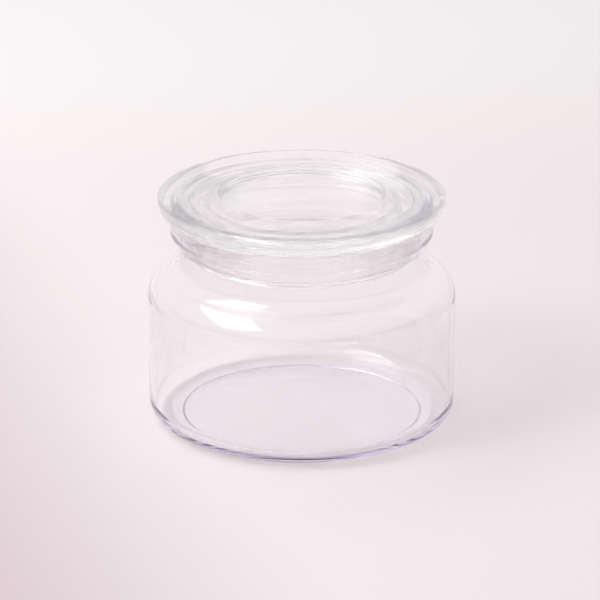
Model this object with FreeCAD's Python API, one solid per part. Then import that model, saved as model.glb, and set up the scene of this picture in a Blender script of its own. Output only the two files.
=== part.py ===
import FreeCAD, Part
import math
import os

# A squat clear glass candle jar with its thick pressed-glass lid and the soft clear
# seal ring on the lid's plug. Millimetres, +Z up. The origin is on the jar's axis, on
# the surface that the foot ring stands on.

# jar body, outside
body_radius = 47.0
wall_top = 39.7            # where the straight wall ends and the shoulder starts
heel_width = 8.6           # radial reach of the rounded heel
heel_height = 6.2
heel_round = 4.6           # tightest radius on the heel
foot_width = 1.5           # flat ring that touches the table
foot_rise = 0.6            # step up from the foot ring to the underside of the floor
push_up = 1.2              # height of the underside at the centre
shoulder_radius = 8.0
throat_radius = 4.7        # hollow curve between shoulder and neck

# jar body, glass thickness and inside
wall = 1.8
floor_thickness = 2.5      # at the foot ring's step
inner_corner = 4.4

# neck and mouth
bore_radius = 36.5
neck_height = 7.15         # plain neck, from the throat to the mouth band
band_step = 1.8            # how far the mouth band stands out from the neck
band_height = 7.0
band_lower_hollow = 0.3
band_lower_round = 1.3
rim_outer_round = 1.5
rim_inner_round = 1.2

# lid
lid_overhang = 3.8         # past the mouth band
lid_thickness = 6.1
lid_top_width = 2.6        # radial reach of the top edge's rounding
lid_top_drop = 1.1         # and its height
lid_top_round = 0.9        # tightest radius on it
lid_side_radius = 6.5
lid_lower_round = 0.6
recess_radius = 25.2
recess_depth = 1.9
recess_top_round = 0.6
recess_floor_thickness = 4.5

# plug under the lid, and the groove that holds the seal
plug_gap = 2.7             # between the bore and the plug
plug_wall = 4.0
plug_lip = 2.0             # end of the plug, below the groove
plug_root_hollow = 0.8
plug_round = 1.0
plug_inner_hollow = 2.0
groove_depth = 0.8
groove_top = 2.2           # below the lid's underside
groove_height = 8.6

# seal ring
seal_inner_clearance = 0.08
seal_bore_clearance = 0.1
seal_top_clearance = 0.3
seal_sleeve = 1.3
seal_fins = 3
fin_root = 1.2
fin_tip = 0.7

# places that follow from the sizes above
waist_radius = bore_radius + wall
band_radius = waist_radius + band_step
turn = math.acos(1.0 - (body_radius - waist_radius) / (shoulder_radius + throat_radius))
throat_top = wall_top + (shoulder_radius + throat_radius) * math.sin(turn)
band_bottom = throat_top + neck_height
rim_height = band_bottom + band_height
foot_outer = body_radius - heel_width
foot_inner = foot_outer - foot_width
floor_height = foot_rise + floor_thickness
lid_radius = band_radius + lid_overhang
lid_top = rim_height + lid_thickness
plug_radius = bore_radius - plug_gap
groove_radius = plug_radius - groove_depth
groove_ceiling = rim_height - groove_top
groove_floor = groove_ceiling - groove_height
plug_ceiling = lid_top - recess_depth - recess_floor_thickness


def at(radius, height):
    return FreeCAD.Vector(radius, 0, height)


def line(start, end):
    return Part.LineSegment(at(*start), at(*end)).toShape()


def arc(centre, radius, start, end):
    """Round edge about centre, from angle start to angle end, in degrees."""
    def on(angle):
        turned = math.radians(angle)
        return at(centre[0] + radius * math.cos(turned), centre[1] + radius * math.sin(turned))
    return Part.Arc(on(start), on(0.5 * (start + end)), on(end)).toShape()


def eased_corner(start, across, up, tight):
    """Wide then tight tangent arcs, from a flat at start to an upright wall across and up from it."""
    height = abs(up)
    wide = (across ** 2 + height ** 2 - 2 * across * tight) / (2 * (height - tight))
    wide_centre = (start[0], start[1] + math.copysign(wide, up))
    tight_centre = (start[0] + across - tight, start[1] + up)
    rise = tight_centre[1] - wide_centre[1]
    join = math.degrees(math.atan2(rise, tight_centre[0] - wide_centre[0]))
    return [
        arc(wide_centre, wide, -math.copysign(90, up), join),
        arc(tight_centre, tight, join, 0),
    ]


def turned_solid(edges):
    """Solid of revolution about the Z axis from a closed outline in the XZ plane."""
    outline = Part.Wire(Part.__sortEdges__(edges))
    solid = Part.Face(outline).revolve(at(0, 0), FreeCAD.Vector(0, 0, 1), 360)
    if solid.ShapeType != "Solid":
        solid = solid.Solids[0]
    if solid.Volume < 0:
        solid.reverse()
    return solid


def foot_and_floor():
    """Underside of the jar, from the axis out to the flat foot ring."""
    step = foot_inner - foot_rise
    dome_radius = (step ** 2 + (push_up - foot_rise) ** 2) / (2 * (push_up - foot_rise))
    half_angle = math.degrees(math.asin(step / dome_radius))
    return [
        arc((0, push_up - dome_radius), dome_radius, 90, 90 - half_angle),
        arc((foot_inner, foot_rise), foot_rise, 180, 270),
        line((foot_inner, 0), (foot_outer, 0)),
    ]


def shoulder(offset):
    """Shoulder and throat curves, moved into the glass by offset."""
    degrees = math.degrees(turn)
    return [
        arc((body_radius - shoulder_radius, wall_top), shoulder_radius - offset, 0, degrees),
        arc((waist_radius + throat_radius, throat_top), throat_radius + offset, 180 + degrees, 180),
    ]


def mouth_band():
    """Outside of the mouth, from the neck up and over the rim to the bore."""
    ledge = band_bottom + band_lower_hollow
    side = ledge + band_lower_round
    return [
        line((waist_radius, throat_top), (waist_radius, band_bottom)),
        arc((waist_radius + band_lower_hollow, band_bottom), band_lower_hollow, 180, 90),
        line((waist_radius + band_lower_hollow, ledge), (band_radius - band_lower_round, ledge)),
        arc((band_radius - band_lower_round, side), band_lower_round, -90, 0),
        line((band_radius, side), (band_radius, rim_height - rim_outer_round)),
        arc((band_radius - rim_outer_round, rim_height - rim_outer_round), rim_outer_round, 0, 90),
        line((band_radius - rim_outer_round, rim_height), (bore_radius + rim_inner_round, rim_height)),
        arc((bore_radius + rim_inner_round, rim_height - rim_inner_round), rim_inner_round, 90, 180),
    ]


def jar_body():
    inner_radius = body_radius - wall
    corner_height = floor_height + inner_corner
    edges = foot_and_floor()
    edges += eased_corner((foot_outer, 0), heel_width, heel_height, heel_round)
    edges.append(line((body_radius, heel_height), (body_radius, wall_top)))
    edges += shoulder(0)
    edges += mouth_band()
    edges.append(line((bore_radius, rim_height - rim_inner_round), (bore_radius, throat_top)))
    edges += shoulder(wall)
    edges += [
        line((inner_radius, wall_top), (inner_radius, corner_height)),
        arc((inner_radius - inner_corner, corner_height), inner_corner, 0, -90),
        line((inner_radius - inner_corner, floor_height), (0, floor_height)),
        line((0, floor_height), (0, push_up)),
    ]
    return turned_solid(edges)


def lid_upper_side():
    """Recess, flat top and rounded edge of the lid, from the axis out to its widest ring."""
    floor = lid_top - recess_depth
    hollow = recess_depth - recess_top_round
    flat_edge = (lid_radius - lid_top_width, lid_top)
    return [
        line((0, floor), (recess_radius - hollow, floor)),
        arc((recess_radius - hollow, floor + hollow), hollow, -90, 0),
        arc((recess_radius + recess_top_round, lid_top - recess_top_round), recess_top_round, 180, 90),
        line((recess_radius + recess_top_round, lid_top), flat_edge),
    ] + eased_corner(flat_edge, lid_top_width, -lid_top_drop, lid_top_round)


def lid_lower_side():
    """Side of the lid under its widest ring, rounded into the flat that sits on the rim."""
    widest = lid_top - lid_top_drop
    side_centre = lid_radius - lid_side_radius
    drop = widest - rim_height - lid_lower_round
    reach = math.sqrt((lid_side_radius - lid_lower_round) ** 2 - drop ** 2)
    angle = -math.degrees(math.asin(drop / (lid_side_radius - lid_lower_round)))
    root = plug_radius + plug_root_hollow
    return [
        arc((side_centre, widest), lid_side_radius, 0, angle),
        arc((side_centre + reach, rim_height + lid_lower_round), lid_lower_round, angle, -90),
        line((side_centre + reach, rim_height), (root, rim_height)),
        arc((root, rim_height - plug_root_hollow), plug_root_hollow, 90, 180),
    ]


def plug():
    """Hollow plug with the seal's groove, from the lid's underside to the ceiling at the axis."""
    end = groove_floor - plug_lip
    inner = plug_radius - plug_wall
    return [
        line((plug_radius, rim_height - plug_root_hollow), (plug_radius, groove_ceiling)),
        line((plug_radius, groove_ceiling), (groove_radius, groove_ceiling)),
        line((groove_radius, groove_ceiling), (groove_radius, groove_floor)),
        line((groove_radius, groove_floor), (plug_radius, groove_floor)),
        line((plug_radius, groove_floor), (plug_radius, end + plug_round)),
        arc((plug_radius - plug_round, end + plug_round), plug_round, 0, -90),
        line((plug_radius - plug_round, end), (inner + plug_round, end)),
        arc((inner + plug_round, end + plug_round), plug_round, -90, -180),
        line((inner, end + plug_round), (inner, plug_ceiling - plug_inner_hollow)),
        arc((inner - plug_inner_hollow, plug_ceiling - plug_inner_hollow), plug_inner_hollow, 0, 90),
        line((inner - plug_inner_hollow, plug_ceiling), (0, plug_ceiling)),
    ]


def lid():
    edges = lid_upper_side() + lid_lower_side() + plug()
    edges.append(line((0, plug_ceiling), (0, lid_top - recess_depth)))
    return turned_solid(edges)


def lid_seal():
    """Sleeve in the plug's groove, with fins that reach out to the bore."""
    inner = groove_radius + seal_inner_clearance
    sleeve = inner + seal_sleeve
    tip = bore_radius - seal_bore_clearance
    height = groove_height - seal_top_clearance
    spacing = height / seal_fins
    corners = [(inner, groove_floor), (sleeve, groove_floor)]
    for fin in range(seal_fins):
        middle = groove_floor + spacing * (fin + 0.5)
        corners += [
            (sleeve, middle - 0.5 * fin_root),
            (tip, middle - 0.5 * fin_tip),
            (tip, middle + 0.5 * fin_tip),
            (sleeve, middle + 0.5 * fin_root),
        ]
    corners += [(sleeve, groove_floor + height), (inner, groove_floor + height)]
    return turned_solid([line(a, b) for a, b in zip(corners, corners[1:] + corners[:1])])


os.makedirs("parts", exist_ok=True)
for name, shape in (("jar_body", jar_body()), ("lid", lid()), ("lid_seal", lid_seal())):
    shape.exportStep("parts/" + name + ".step")
    box = shape.BoundBox
    print(name, "valid", shape.isValid(), "volume %.0f" % shape.Volume,
          "z %.2f to %.2f" % (box.ZMin, box.ZMax), "radius %.2f" % box.XMax)
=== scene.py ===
import math
import bpy
import bmesh
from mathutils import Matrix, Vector


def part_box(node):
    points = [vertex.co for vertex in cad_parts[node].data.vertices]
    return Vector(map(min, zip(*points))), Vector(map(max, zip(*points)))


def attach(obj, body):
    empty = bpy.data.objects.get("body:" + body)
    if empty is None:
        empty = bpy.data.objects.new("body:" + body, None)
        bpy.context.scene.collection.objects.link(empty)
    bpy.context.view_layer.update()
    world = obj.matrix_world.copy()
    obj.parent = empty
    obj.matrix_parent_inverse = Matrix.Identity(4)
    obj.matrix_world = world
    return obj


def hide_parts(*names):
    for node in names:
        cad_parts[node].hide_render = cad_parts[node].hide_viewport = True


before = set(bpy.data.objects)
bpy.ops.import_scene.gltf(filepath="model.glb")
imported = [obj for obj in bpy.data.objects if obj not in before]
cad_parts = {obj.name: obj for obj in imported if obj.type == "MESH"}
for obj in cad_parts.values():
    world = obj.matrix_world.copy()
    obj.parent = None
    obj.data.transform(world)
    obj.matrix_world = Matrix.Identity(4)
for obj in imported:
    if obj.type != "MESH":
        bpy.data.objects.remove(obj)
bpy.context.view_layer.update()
print("stage: frame loaded")

jarLow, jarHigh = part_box("jar_body")
lidLow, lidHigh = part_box("lid")
sealLow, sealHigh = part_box("lid_seal")
rimHeight = jarHigh[2]
shortestRun = 0.00001    # a straight run shorter than this is left out
mergeDistance = 0.000002    # points nearer than this are one point


def tangentLength(radius, turn):
    return radius * math.tan(0.5 * turn)


def roundedOutline(corners, guard=0.0002, stride=0.0025, degrees=5.0):
    # corners are (radius from the axis, height, rounding); straight runs get a guard point at each end
    ends = []
    for before, here, after in zip(corners, corners[1:], corners[2:]):
        spot = Vector(here[:2])
        inward = (Vector(before[:2]) - spot).normalized()
        onward = (Vector(after[:2]) - spot).normalized()
        turn = math.pi - inward.angle(onward)
        reach = tangentLength(here[2], turn)
        ends.append((spot, inward, onward, turn, reach, here[2]))
    points = [Vector(corners[0][:2])]
    for spot, inward, onward, turn, reach, rounding in ends:
        start = spot + inward * reach
        addRun(points, start, guard, stride)
        centre = spot + (inward + onward).normalized() * (rounding / math.cos(0.5 * turn))
        count = max(3, math.ceil(math.degrees(turn) / degrees), math.ceil(rounding * turn / stride))
        fromCentre = start - centre
        sense = 1 if fromCentre.cross(spot + onward * reach - centre) > 0 else -1
        for step in range(1, count + 1):
            swing = sense * turn * step / count
            turned = Vector((fromCentre.x * math.cos(swing) - fromCentre.y * math.sin(swing),
                             fromCentre.x * math.sin(swing) + fromCentre.y * math.cos(swing)))
            points.append(centre + turned)
    addRun(points, Vector(corners[-1][:2]), guard, stride)
    return points


def addRun(points, end, guard, stride):
    start = points[-1]
    length = (end - start).length
    if length < shortestRun:
        return
    along = (end - start) / length
    stops = []
    if length > 3 * guard:
        count = max(1, math.ceil((length - 2 * guard) / stride))
        stops = [guard + (length - 2 * guard) * step / count for step in range(count + 1)]
    points.extend(start + along * stop for stop in stops)
    points.append(end)


def easedCorner(flatEnd, across, up, tight):
    # two corners that make a wide then a tight tangent arc, from a flat to an upright wall
    height = abs(up)
    wide = (across ** 2 + height ** 2 - 2 * across * tight) / (2 * (height - tight))
    swing = math.atan2(across - tight, abs(wide - height))
    sense = math.copysign(1, up)
    return [
        (flatEnd[0] + tangentLength(wide, swing), flatEnd[1], wide),
        (flatEnd[0] + across, flatEnd[1] + up - sense * tangentLength(tight, 0.5 * math.pi - swing), tight),
    ]


jarSizes = {
    "wall": 0.0018,
    "wallTop": 0.0397,
    "heelWidth": 0.0086,
    "heelHeight": 0.0062,
    "heelRound": 0.0046,
    "footWidth": 0.0015,
    "footRise": 0.0006,
    "footEdge": 0.0003,
    "pushUp": 0.0012,
    "pushUpRound": 0.7,
    "floor": 0.0031,
    "innerCorner": 0.0044,
    "shoulder": 0.0080,
    "throat": 0.0047,
    "bore": 0.0365,
    "bandStep": 0.0018,
    "bandHeight": 0.0070,
    "bandHollow": 0.0003,
    "bandRound": 0.0013,
    "rimOuterRound": 0.0015,
    "rimInnerRound": 0.0012,
}


def jarOutline(s):
    body = jarHigh[0]
    waist = s["bore"] + s["wall"]
    band = waist + s["bandStep"]
    reach = s["shoulder"] + s["throat"]
    turn = math.acos(1 - (body - waist) / reach)
    throatTop = s["wallTop"] + reach * math.sin(turn)
    ledge = rimHeight - s["bandHeight"] + s["bandHollow"]
    footOuter = body - s["heelWidth"]
    footInner = footOuter - s["footWidth"]
    inner = body - s["wall"]

    def sweep(offset):
        shoulder = s["shoulder"] - offset
        throat = s["throat"] + offset
        return [
            (body - offset, s["wallTop"] + tangentLength(shoulder, turn), shoulder),
            (waist - offset, throatTop - tangentLength(throat, turn), throat),
        ]

    corners = [
        (0, s["pushUp"], 0),
        (0.5 * footInner, s["pushUp"], s["pushUpRound"]),
        (footInner - s["footRise"], s["footRise"], s["footEdge"]),
        (footInner, 0, s["footEdge"]),
    ]
    corners += easedCorner((footOuter, 0), s["heelWidth"], s["heelHeight"], s["heelRound"])
    corners += sweep(0)
    corners += [
        (waist, ledge, s["bandHollow"]),
        (band, ledge, s["bandRound"]),
        (band, rimHeight, s["rimOuterRound"]),
        (s["bore"], rimHeight, s["rimInnerRound"]),
    ]
    corners += reversed(sweep(s["wall"]))
    corners += [
        (inner, s["floor"], s["innerCorner"]),
        (0, s["floor"], 0),
    ]
    return roundedOutline(corners)


lidSizes = {
    "seatGap": 0.00005,
    "topWidth": 0.0026,
    "topDrop": 0.0011,
    "topRound": 0.0009,
    "sideRound": 0.0065,
    "lowerRound": 0.0006,
    "recess": 0.0252,
    "recessDepth": 0.0019,
    "recessTopRound": 0.0006,
    "recessFloor": 0.0045,
    "plug": 0.0338,
    "plugWall": 0.0040,
    "plugRound": 0.0010,
    "plugRootRound": 0.0008,
    "hollowRound": 0.0020,
    "grooveDepth": 0.0008,
    "grooveTop": 0.0022,
    "grooveHeight": 0.0086,
    "grooveEdge": 0.00015,
}


def lidOutline(s):
    top = lidHigh[2]
    radius = lidHigh[0]
    seat = rimHeight + s["seatGap"]
    widest = top - s["topDrop"]
    recessFloor = top - s["recessDepth"]
    hollow = s["recessDepth"] - s["recessTopRound"]
    grooveTop = rimHeight - s["grooveTop"]
    grooveEnd = grooveTop - s["grooveHeight"]
    groove = s["plug"] - s["grooveDepth"]
    inner = s["plug"] - s["plugWall"]
    ceiling = recessFloor - s["recessFloor"]
    drop = widest - seat - s["lowerRound"]
    span = s["sideRound"] - s["lowerRound"]
    turn = math.asin(drop / span)
    lowerCentre = radius - s["sideRound"] + span * math.cos(turn)
    topEdge = easedCorner((radius - s["topWidth"], top), s["topWidth"], -s["topDrop"], s["topRound"])
    corners = [
        (0, ceiling, 0),
        (inner, ceiling, s["hollowRound"]),
        (inner, lidLow[2], s["plugRound"]),
        (s["plug"], lidLow[2], s["plugRound"]),
        (s["plug"], grooveEnd, s["grooveEdge"]),
        (groove, grooveEnd, s["grooveEdge"]),
        (groove, grooveTop, s["grooveEdge"]),
        (s["plug"], grooveTop, s["grooveEdge"]),
        (s["plug"], seat, s["plugRootRound"]),
        (lowerCentre + tangentLength(s["lowerRound"], 0.5 * math.pi - turn), seat, s["lowerRound"]),
        (radius, widest - tangentLength(s["sideRound"], turn), s["sideRound"]),
    ]
    corners += reversed(topEdge)
    corners += [
        (s["recess"], top, s["recessTopRound"]),
        (s["recess"], recessFloor, hollow),
        (0, recessFloor, 0),
    ]
    return roundedOutline(corners)


sealSizes = {
    "inner": 0.03308,
    "sleeve": 0.0013,
    "fins": 3,
    "finRoot": 0.0012,
    "finTip": 0.0007,
    "edge": 0.0002,
}


def sealOutline(s):
    sleeve = s["inner"] + s["sleeve"]
    low = sealLow[2]
    high = sealHigh[2]
    spacing = (high - low) / s["fins"]
    corners = [(s["inner"], 0.5 * (low + high), 0), (s["inner"], low, s["edge"]), (sleeve, low, s["edge"])]
    for fin in range(s["fins"]):
        middle = low + spacing * (fin + 0.5)
        corners += [
            (sleeve, middle - 0.5 * s["finRoot"], s["edge"]),
            (sealHigh[0], middle - 0.5 * s["finTip"], s["edge"]),
            (sealHigh[0], middle + 0.5 * s["finTip"], s["edge"]),
            (sleeve, middle + 0.5 * s["finRoot"], s["edge"]),
        ]
    corners += [(sleeve, high, s["edge"]), (s["inner"], high, s["edge"]), (s["inner"], 0.5 * (low + high), 0)]
    return roundedOutline(corners, stride=0.0008, degrees=18)


def addNode(tree, kind, **settings):
    node = tree.nodes.new(kind)
    for key, value in settings.items():
        setattr(node, key, value)
    return node


def latheTree():
    # turns an outline round the Z axis and gives the surface its slight ripple
    tree = bpy.data.node_groups.new("latheTree", "GeometryNodeTree")
    face = tree.interface
    face.new_socket("Geometry", in_out="INPUT", socket_type="NodeSocketGeometry")
    for name, kind, value in (
        ("Segments", "NodeSocketInt", 240),
        ("Ripple Height", "NodeSocketFloat", 0.00005),
        ("Ripple Size", "NodeSocketFloat", 0.02),
        ("Seed", "NodeSocketFloat", 1.0),
        ("Material", "NodeSocketMaterial", None),
    ):
        socket = face.new_socket(name, in_out="INPUT", socket_type=kind)
        if value is not None:
            socket.default_value = value
    face.new_socket("Geometry", in_out="OUTPUT", socket_type="NodeSocketGeometry")
    link = tree.links.new
    given = addNode(tree, "NodeGroupInput")
    result = addNode(tree, "NodeGroupOutput")

    count = addNode(tree, "GeometryNodeAttributeDomainSize", component="MESH")
    link(given.outputs["Geometry"], count.inputs["Geometry"])
    columns = addNode(tree, "ShaderNodeMath", operation="ADD")
    columns.inputs[1].default_value = 1
    link(given.outputs["Segments"], columns.inputs[0])
    grid = addNode(tree, "GeometryNodeMeshGrid")
    link(columns.outputs[0], grid.inputs["Vertices X"])
    link(count.outputs["Point Count"], grid.inputs["Vertices Y"])

    index = addNode(tree, "GeometryNodeInputIndex")
    column = addNode(tree, "FunctionNodeIntegerMath", operation="DIVIDE_FLOOR")
    row = addNode(tree, "FunctionNodeIntegerMath", operation="MODULO")
    for node in (column, row):
        link(index.outputs[0], node.inputs[0])
        link(count.outputs["Point Count"], node.inputs[1])
    position = addNode(tree, "GeometryNodeInputPosition")
    sample = addNode(tree, "GeometryNodeSampleIndex", data_type="FLOAT_VECTOR", domain="POINT")
    link(given.outputs["Geometry"], sample.inputs["Geometry"])
    link(position.outputs[0], sample.inputs["Value"])
    link(row.outputs[0], sample.inputs["Index"])
    share = addNode(tree, "ShaderNodeMath", operation="DIVIDE")
    link(column.outputs[0], share.inputs[0])
    link(given.outputs["Segments"], share.inputs[1])
    angle = addNode(tree, "ShaderNodeMath", operation="MULTIPLY")
    angle.inputs[1].default_value = 2 * math.pi
    link(share.outputs[0], angle.inputs[0])
    turned = addNode(tree, "ShaderNodeVectorRotate", rotation_type="Z_AXIS")
    link(sample.outputs[0], turned.inputs["Vector"])
    link(angle.outputs[0], turned.inputs["Angle"])
    shaped = addNode(tree, "GeometryNodeSetPosition")
    link(grid.outputs["Mesh"], shaped.inputs["Geometry"])
    link(turned.outputs[0], shaped.inputs["Position"])
    merged = addNode(tree, "GeometryNodeMergeByDistance")
    merged.inputs["Distance"].default_value = mergeDistance
    link(shaped.outputs[0], merged.inputs["Geometry"])

    # the ripple only ever takes glass away, so the piece stays inside its box
    finer = addNode(tree, "ShaderNodeMath", operation="DIVIDE")
    finer.inputs[0].default_value = 1
    link(given.outputs["Ripple Size"], finer.inputs[1])
    noise = addNode(tree, "ShaderNodeTexNoise", noise_dimensions="4D")
    noise.inputs["Detail"].default_value = 1.0
    link(position.outputs[0], noise.inputs["Vector"])
    link(finer.outputs[0], noise.inputs["Scale"])
    link(given.outputs["Seed"], noise.inputs["W"])
    depth = addNode(tree, "ShaderNodeMath", operation="MULTIPLY")
    link(noise.outputs[0], depth.inputs[0])
    link(given.outputs["Ripple Height"], depth.inputs[1])
    normal = addNode(tree, "GeometryNodeInputNormal")
    inward = addNode(tree, "ShaderNodeVectorMath", operation="SCALE")
    link(normal.outputs[0], inward.inputs[0])
    flipped = addNode(tree, "ShaderNodeMath", operation="MULTIPLY")
    flipped.inputs[1].default_value = -1
    link(depth.outputs[0], flipped.inputs[0])
    link(flipped.outputs[0], inward.inputs["Scale"])
    rippled = addNode(tree, "GeometryNodeSetPosition")
    link(merged.outputs[0], rippled.inputs["Geometry"])
    link(inward.outputs[0], rippled.inputs["Offset"])

    smooth = addNode(tree, "GeometryNodeSetShadeSmooth")
    realized = addNode(tree, "GeometryNodeRealizeInstances")
    painted = addNode(tree, "GeometryNodeSetMaterial")
    link(rippled.outputs[0], smooth.inputs["Geometry"])
    link(smooth.outputs[0], realized.inputs["Geometry"])
    link(realized.outputs[0], painted.inputs["Geometry"])
    link(given.outputs["Material"], painted.inputs["Material"])
    link(painted.outputs[0], result.inputs["Geometry"])
    return tree


def turnPiece(name, outline, tree, values):
    mesh = bpy.data.meshes.new(name + "Outline")
    edges = [(first, first + 1) for first in range(len(outline) - 1)]
    mesh.from_pydata([(point.x, 0, point.y) for point in outline], edges, [])
    piece = bpy.data.objects.new(name, mesh)
    bpy.context.collection.objects.link(piece)
    lathe = piece.modifiers.new("lathe", "NODES")
    lathe.node_group = tree
    for item in tree.interface.items_tree:
        if item.in_out == "INPUT" and item.name in values:
            lathe[item.identifier] = values[item.name]
    evaluated = piece.evaluated_get(bpy.context.evaluated_depsgraph_get())
    baked = bpy.data.meshes.new_from_object(evaluated)
    piece.modifiers.clear()
    piece.data = baked
    work = bmesh.new()
    work.from_mesh(baked)
    bmesh.ops.remove_doubles(work, verts=work.verts, dist=mergeDistance)
    bmesh.ops.recalc_face_normals(work, faces=work.faces)
    if work.calc_volume(signed=True) < 0:
        bmesh.ops.reverse_faces(work, faces=work.faces)
    openEdges = sum(1 for edge in work.edges if not edge.is_manifold)
    work.to_mesh(baked)
    work.free()
    baked.name = name
    print("turned", name, "faces", len(baked.polygons), "open edges", openEdges)
    return piece


def rippleGroup():
    # soft unevenness of fire-polished glass, as a height for a bump
    group = bpy.data.node_groups.new("glassRipple", "ShaderNodeTree")
    face = group.interface
    face.new_socket("Size", in_out="INPUT", socket_type="NodeSocketFloat").default_value = 0.01
    face.new_socket("Stretch", in_out="INPUT", socket_type="NodeSocketFloat").default_value = 1.0
    face.new_socket("Height", in_out="OUTPUT", socket_type="NodeSocketFloat")
    link = group.links.new
    given = addNode(group, "NodeGroupInput")
    result = addNode(group, "NodeGroupOutput")
    place = addNode(group, "ShaderNodeTexCoord")
    squeeze = addNode(group, "ShaderNodeVectorMath", operation="MULTIPLY")
    scale = addNode(group, "ShaderNodeCombineXYZ")
    scale.inputs[0].default_value = 1
    scale.inputs[1].default_value = 1
    link(given.outputs["Stretch"], scale.inputs[2])
    link(place.outputs["Object"], squeeze.inputs[0])
    link(scale.outputs[0], squeeze.inputs[1])
    finer = addNode(group, "ShaderNodeMath", operation="DIVIDE")
    finer.inputs[0].default_value = 1
    link(given.outputs["Size"], finer.inputs[1])
    noise = addNode(group, "ShaderNodeTexNoise")
    noise.inputs["Detail"].default_value = 2.0
    link(squeeze.outputs[0], noise.inputs["Vector"])
    link(finer.outputs[0], noise.inputs["Scale"])
    link(noise.outputs[0], result.inputs["Height"])
    return group


def smudgeGroup():
    # faint handling haze, as a roughness that grows where the noise passes hazeStart
    hazeStart = 0.5
    hazeFull = 0.8
    group = bpy.data.node_groups.new("handlingHaze", "ShaderNodeTree")
    face = group.interface
    face.new_socket("Clean", in_out="INPUT", socket_type="NodeSocketFloat").default_value = 0.0
    face.new_socket("Hazy", in_out="INPUT", socket_type="NodeSocketFloat").default_value = 0.05
    face.new_socket("Size", in_out="INPUT", socket_type="NodeSocketFloat").default_value = 0.02
    face.new_socket("Roughness", in_out="OUTPUT", socket_type="NodeSocketFloat")
    link = group.links.new
    given = addNode(group, "NodeGroupInput")
    result = addNode(group, "NodeGroupOutput")
    place = addNode(group, "ShaderNodeTexCoord")
    finer = addNode(group, "ShaderNodeMath", operation="DIVIDE")
    finer.inputs[0].default_value = 1
    link(given.outputs["Size"], finer.inputs[1])
    noise = addNode(group, "ShaderNodeTexNoise")
    noise.inputs["Detail"].default_value = 4.0
    noise.inputs["Distortion"].default_value = 0.6
    link(place.outputs["Object"], noise.inputs["Vector"])
    link(finer.outputs[0], noise.inputs["Scale"])
    spread = addNode(group, "ShaderNodeMapRange", interpolation_type="SMOOTHSTEP")
    spread.inputs["From Min"].default_value = hazeStart
    spread.inputs["From Max"].default_value = hazeFull
    link(noise.outputs[0], spread.inputs["Value"])
    link(given.outputs["Clean"], spread.inputs["To Min"])
    link(given.outputs["Hazy"], spread.inputs["To Max"])
    link(spread.outputs[0], result.inputs["Roughness"])
    return group


def clearMaterial(name, values, ripple, smudge):
    material = bpy.data.materials.new(name)
    material.use_nodes = True
    tree = material.node_tree
    tree.nodes.clear()
    link = tree.links.new
    output = addNode(tree, "ShaderNodeOutputMaterial")
    shader = addNode(tree, "ShaderNodeBsdfPrincipled")
    shader.inputs["Base Color"].default_value = values["colour"] + (1,)
    shader.inputs["IOR"].default_value = values["ior"]
    shader.inputs["Transmission Weight"].default_value = values["transmission"]
    shader.inputs["Metallic"].default_value = 0.0
    shader.inputs["Alpha"].default_value = values["alpha"]
    link(shader.outputs[0], output.inputs["Surface"])
    haze = addNode(tree, "ShaderNodeGroup", node_tree=smudge)
    haze.inputs["Clean"].default_value = values["clean"]
    haze.inputs["Hazy"].default_value = values["hazy"]
    haze.inputs["Size"].default_value = values["hazeSize"]
    link(haze.outputs[0], shader.inputs["Roughness"])
    wave = addNode(tree, "ShaderNodeGroup", node_tree=ripple)
    wave.inputs["Size"].default_value = values["waveSize"]
    wave.inputs["Stretch"].default_value = values["waveStretch"]
    bump = addNode(tree, "ShaderNodeBump")
    bump.inputs["Strength"].default_value = values["waveStrength"]
    bump.inputs["Distance"].default_value = values["waveHeight"]
    link(wave.outputs[0], bump.inputs["Height"])
    link(bump.outputs[0], shader.inputs["Normal"])
    if values["density"] > 0:
        body = addNode(tree, "ShaderNodeVolumeAbsorption")
        body.inputs["Color"].default_value = values["bodyColour"] + (1,)
        body.inputs["Density"].default_value = values["density"]
        link(body.outputs[0], output.inputs["Volume"])
    return material


jarFinish = {
    "colour": (1.0, 0.997, 1.0), "ior": 1.51, "transmission": 1.0, "alpha": 1.0,
    "clean": 0.0, "hazy": 0.03, "hazeSize": 0.03,
    "waveSize": 0.012, "waveStretch": 0.5, "waveStrength": 0.5, "waveHeight": 0.00001,
    "bodyColour": (0.83, 0.78, 0.92), "density": 22.0,
}
lidFinish = {
    "colour": (1.0, 1.0, 1.0), "ior": 1.52, "transmission": 1.0, "alpha": 0.65,
    "clean": 0.0, "hazy": 0.0, "hazeSize": 0.025,
    "waveSize": 0.02, "waveStretch": 1.0, "waveStrength": 0.3, "waveHeight": 0.00001,
    "bodyColour": (0.70, 0.90, 0.80), "density": 0.3,
}
sealFinish = {
    "colour": (0.97, 0.97, 0.97), "ior": 1.1, "transmission": 1.0, "alpha": 0.4,
    "clean": 0.0, "hazy": 0.1, "hazeSize": 0.01,
    "waveSize": 0.004, "waveStretch": 1.0, "waveStrength": 0.0, "waveHeight": 0.00003,
    "density": 0.0,    # no cast of its own
}

ripple = rippleGroup()
smudge = smudgeGroup()
jarGlass = clearMaterial("jarGlass", jarFinish, ripple, smudge)
lidGlass = clearMaterial("lidGlass", lidFinish, ripple, smudge)
softSeal = clearMaterial("softSeal", sealFinish, ripple, smudge)
print("stage: finishes made")

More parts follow.
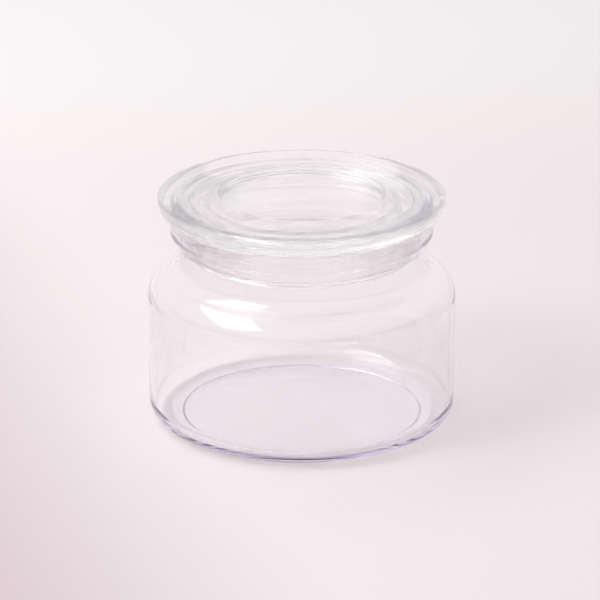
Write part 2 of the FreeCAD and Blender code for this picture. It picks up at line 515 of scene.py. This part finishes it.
lathe = latheTree()
jarTurning = {
    "Segments": 320, "Ripple Height": 0.00003, "Ripple Size": 0.03, "Seed": 3.0, "Material": jarGlass,
}
lidTurning = {
    "Segments": 320, "Ripple Height": 0.00001, "Ripple Size": 0.03, "Seed": 8.0, "Material": lidGlass,
}
sealTurning = {
    "Segments": 256, "Ripple Height": 0.0, "Ripple Size": 0.01, "Seed": 5.0, "Material": softSeal,
}
jar = turnPiece("glassJar", jarOutline(jarSizes), lathe, jarTurning)
lid = turnPiece("glassLid", lidOutline(lidSizes), lathe, lidTurning)
seal = turnPiece("sealRing", sealOutline(sealSizes), lathe, sealTurning)
for piece, node, body, slot in (
    (jar, "jar_body", "jar", "jar_glass"),
    (lid, "lid", "lid", "lid_glass"),
    (seal, "lid_seal", "seal", "seal"),
):
    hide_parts(node)
    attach(piece, body)
print("stage: pieces turned")


# From and To are points on the floor, between which its paper takes on another colour: painted shade, darker
# and pinker towards the left front, and painted light, lighter and more neutral further back
floorSettings = {
    "size": 3.0, "drop": 0.0001, "roughness": 0.9, "specular": 0.1,
    "paper": (0.655, 0.611, 0.623),
    # painted shade: the paper darker and pinker towards the left front, where the light falls off
    "shade": (0.50, 0.418, 0.445), "shadeFrom": (-0.015, -0.01), "shadeTo": (-0.135, -0.045),
    # painted light: the paper lighter and more neutral further back, where more light falls
    "paintedLight": (0.69, 0.665, 0.67), "paintedLightFrom": (0.0, 0.15), "paintedLightTo": (-0.04, 0.42),
}
worldSettings = {
    "paper": (0.93, 0.88, 0.89),
    "ceiling": (0.95, 0.94, 0.94),
    "room": (0.20, 0.19, 0.20),
    "roomFrom": 0.6,
    "roomTo": -0.1,
    "paperTop": 0.45,
    "roomTop": 0.35,
    "strength": 0.97,
}
windowSettings = {
    "place": (-0.535, 0.337, 1.020), "turn": (14.7, 30.5, -93.6),
    "width": 2.0, "height": 0.51, "power": 8.0, "colour": (1.0, 1.0, 0.99), "mirrored": True,
}
fillSettings = {
    "place": (-0.75, -0.45, 0.75), "turn": (49.4, 0.0, -59.0),
    "width": 0.5, "height": 0.5, "power": 2.8, "colour": (1.0, 0.99, 1.0), "mirrored": False,
}
viewSettings = {
    "distance": 1.2, "pitch": 20.2, "aimSide": -0.00055, "aimHeight": 0.0373,
    "lens": 234.7, "sensor": 36.0, "nearest": 0.01,
}
glassBounces = 32
paperBounces = 8


def makeFloor(s):
    mesh = bpy.data.meshes.new("floor")
    half = 0.5 * s["size"]
    corners = [(-half, -half), (half, -half), (half, half), (-half, half)]
    mesh.from_pydata([corner + (-s["drop"],) for corner in corners], [], [(0, 1, 2, 3)])
    floor = bpy.data.objects.new("floor", mesh)
    bpy.context.collection.objects.link(floor)
    material = bpy.data.materials.new("floorPaper")
    material.use_nodes = True
    tree = material.node_tree
    link = tree.links.new
    shader = tree.nodes["Principled BSDF"]
    shader.inputs["Roughness"].default_value = s["roughness"]
    shader.inputs["Specular IOR Level"].default_value = s["specular"]
    place = addNode(tree, "ShaderNodeTexCoord")
    before = None
    # painted shade towards the left front, then painted light further back, over the plain paper
    for name in ("shade", "paintedLight"):    # the second fade lies over the first
        start = Vector(s[name + "From"])
        end = Vector(s[name + "To"])
        span = end - start
        along = addNode(tree, "ShaderNodeVectorMath", operation="DOT_PRODUCT")
        along.inputs[1].default_value = (span.x, span.y, 0)
        fade = addNode(tree, "ShaderNodeMapRange", interpolation_type="SMOOTHSTEP")
        fade.inputs["From Min"].default_value = span.dot(start)
        fade.inputs["From Max"].default_value = span.dot(end)
        lightAndShadeMix = addNode(tree, "ShaderNodeMix", data_type="RGBA")
        lightAndShadeMix.inputs[6].default_value = s["paper"] + (1,)
        lightAndShadeMix.inputs[7].default_value = s[name] + (1,)
        link(place.outputs["Object"], along.inputs[0])
        link(along.outputs["Value"], fade.inputs["Value"])
        link(fade.outputs[0], lightAndShadeMix.inputs[0])
        if before:
            link(before, lightAndShadeMix.inputs[6])
        before = lightAndShadeMix.outputs[2]
    link(before, shader.inputs["Base Color"])
    mesh.materials.append(material)


def makeWorld(s):
    # pale paper low down at the back, a dim room low down in front and at the sides, a soft ceiling above
    world = bpy.data.worlds.new("studio")
    bpy.context.scene.world = world
    world.use_nodes = True
    tree = world.node_tree
    link = tree.links.new
    back = tree.nodes["Background"]
    back.inputs["Strength"].default_value = s["strength"]
    place = addNode(tree, "ShaderNodeTexCoord")
    split = addNode(tree, "ShaderNodeSeparateXYZ")
    link(place.outputs["Generated"], split.inputs[0])
    rise = addNode(tree, "ShaderNodeMapRange", interpolation_type="SMOOTHSTEP")
    rise.inputs["From Min"].default_value = 0.0
    rise.inputs["From Max"].default_value = s["paperTop"]
    link(split.outputs["Z"], rise.inputs["Value"])
    wall = addNode(tree, "ShaderNodeMix", data_type="RGBA")
    wall.inputs[6].default_value = s["paper"] + (1,)
    wall.inputs[7].default_value = s["ceiling"] + (1,)
    link(rise.outputs[0], wall.inputs[0])
    front = addNode(tree, "ShaderNodeMapRange", interpolation_type="SMOOTHSTEP")
    front.inputs["From Min"].default_value = s["roomFrom"]
    front.inputs["From Max"].default_value = s["roomTo"]
    link(split.outputs["Y"], front.inputs["Value"])
    low = addNode(tree, "ShaderNodeMapRange", interpolation_type="SMOOTHSTEP")
    low.inputs["From Min"].default_value = s["roomTop"]
    low.inputs["From Max"].default_value = 0.0
    link(split.outputs["Z"], low.inputs["Value"])
    dim = addNode(tree, "ShaderNodeMath", operation="MULTIPLY")
    link(front.outputs[0], dim.inputs[0])
    link(low.outputs[0], dim.inputs[1])
    around = addNode(tree, "ShaderNodeMix", data_type="RGBA")
    around.inputs[7].default_value = s["room"] + (1,)
    link(dim.outputs[0], around.inputs[0])
    link(wall.outputs[2], around.inputs[6])
    link(around.outputs[2], back.inputs["Color"])


def makeLight(name, s):
    light = bpy.data.lights.new(name, "AREA")
    light.shape = "RECTANGLE"
    light.size = s["width"]
    light.size_y = s["height"]
    light.energy = s["power"]
    light.color = s["colour"]
    lamp = bpy.data.objects.new(name, light)
    bpy.context.collection.objects.link(lamp)
    lamp.location = s["place"]
    lamp.rotation_euler = [math.radians(angle) for angle in s["turn"]]
    lamp.visible_glossy = s["mirrored"]


def makeCamera(s):
    data = bpy.data.cameras.new("camera")
    data.lens = s["lens"]
    data.sensor_width = s["sensor"]
    data.clip_start = s["nearest"]
    camera = bpy.data.objects.new("camera", data)
    bpy.context.collection.objects.link(camera)
    pitch = math.radians(s["pitch"])
    height = s["aimHeight"] + s["distance"] * math.sin(pitch)
    camera.location = (s["aimSide"], -s["distance"] * math.cos(pitch), height)
    camera.rotation_euler = (0.5 * math.pi - pitch, 0, 0)
    bpy.context.scene.camera = camera


makeFloor(floorSettings)
makeWorld(worldSettings)
makeLight("window", windowSettings)
makeLight("fill", fillSettings)
makeCamera(viewSettings)
bpy.context.scene.view_settings.view_transform = "Standard"
cycles = bpy.context.scene.cycles
cycles.max_bounces = glassBounces
cycles.transmission_bounces = glassBounces
cycles.glossy_bounces = glassBounces
cycles.diffuse_bounces = paperBounces
cycles.blur_glossy = 0.0
print("stage: floor, light and camera made")
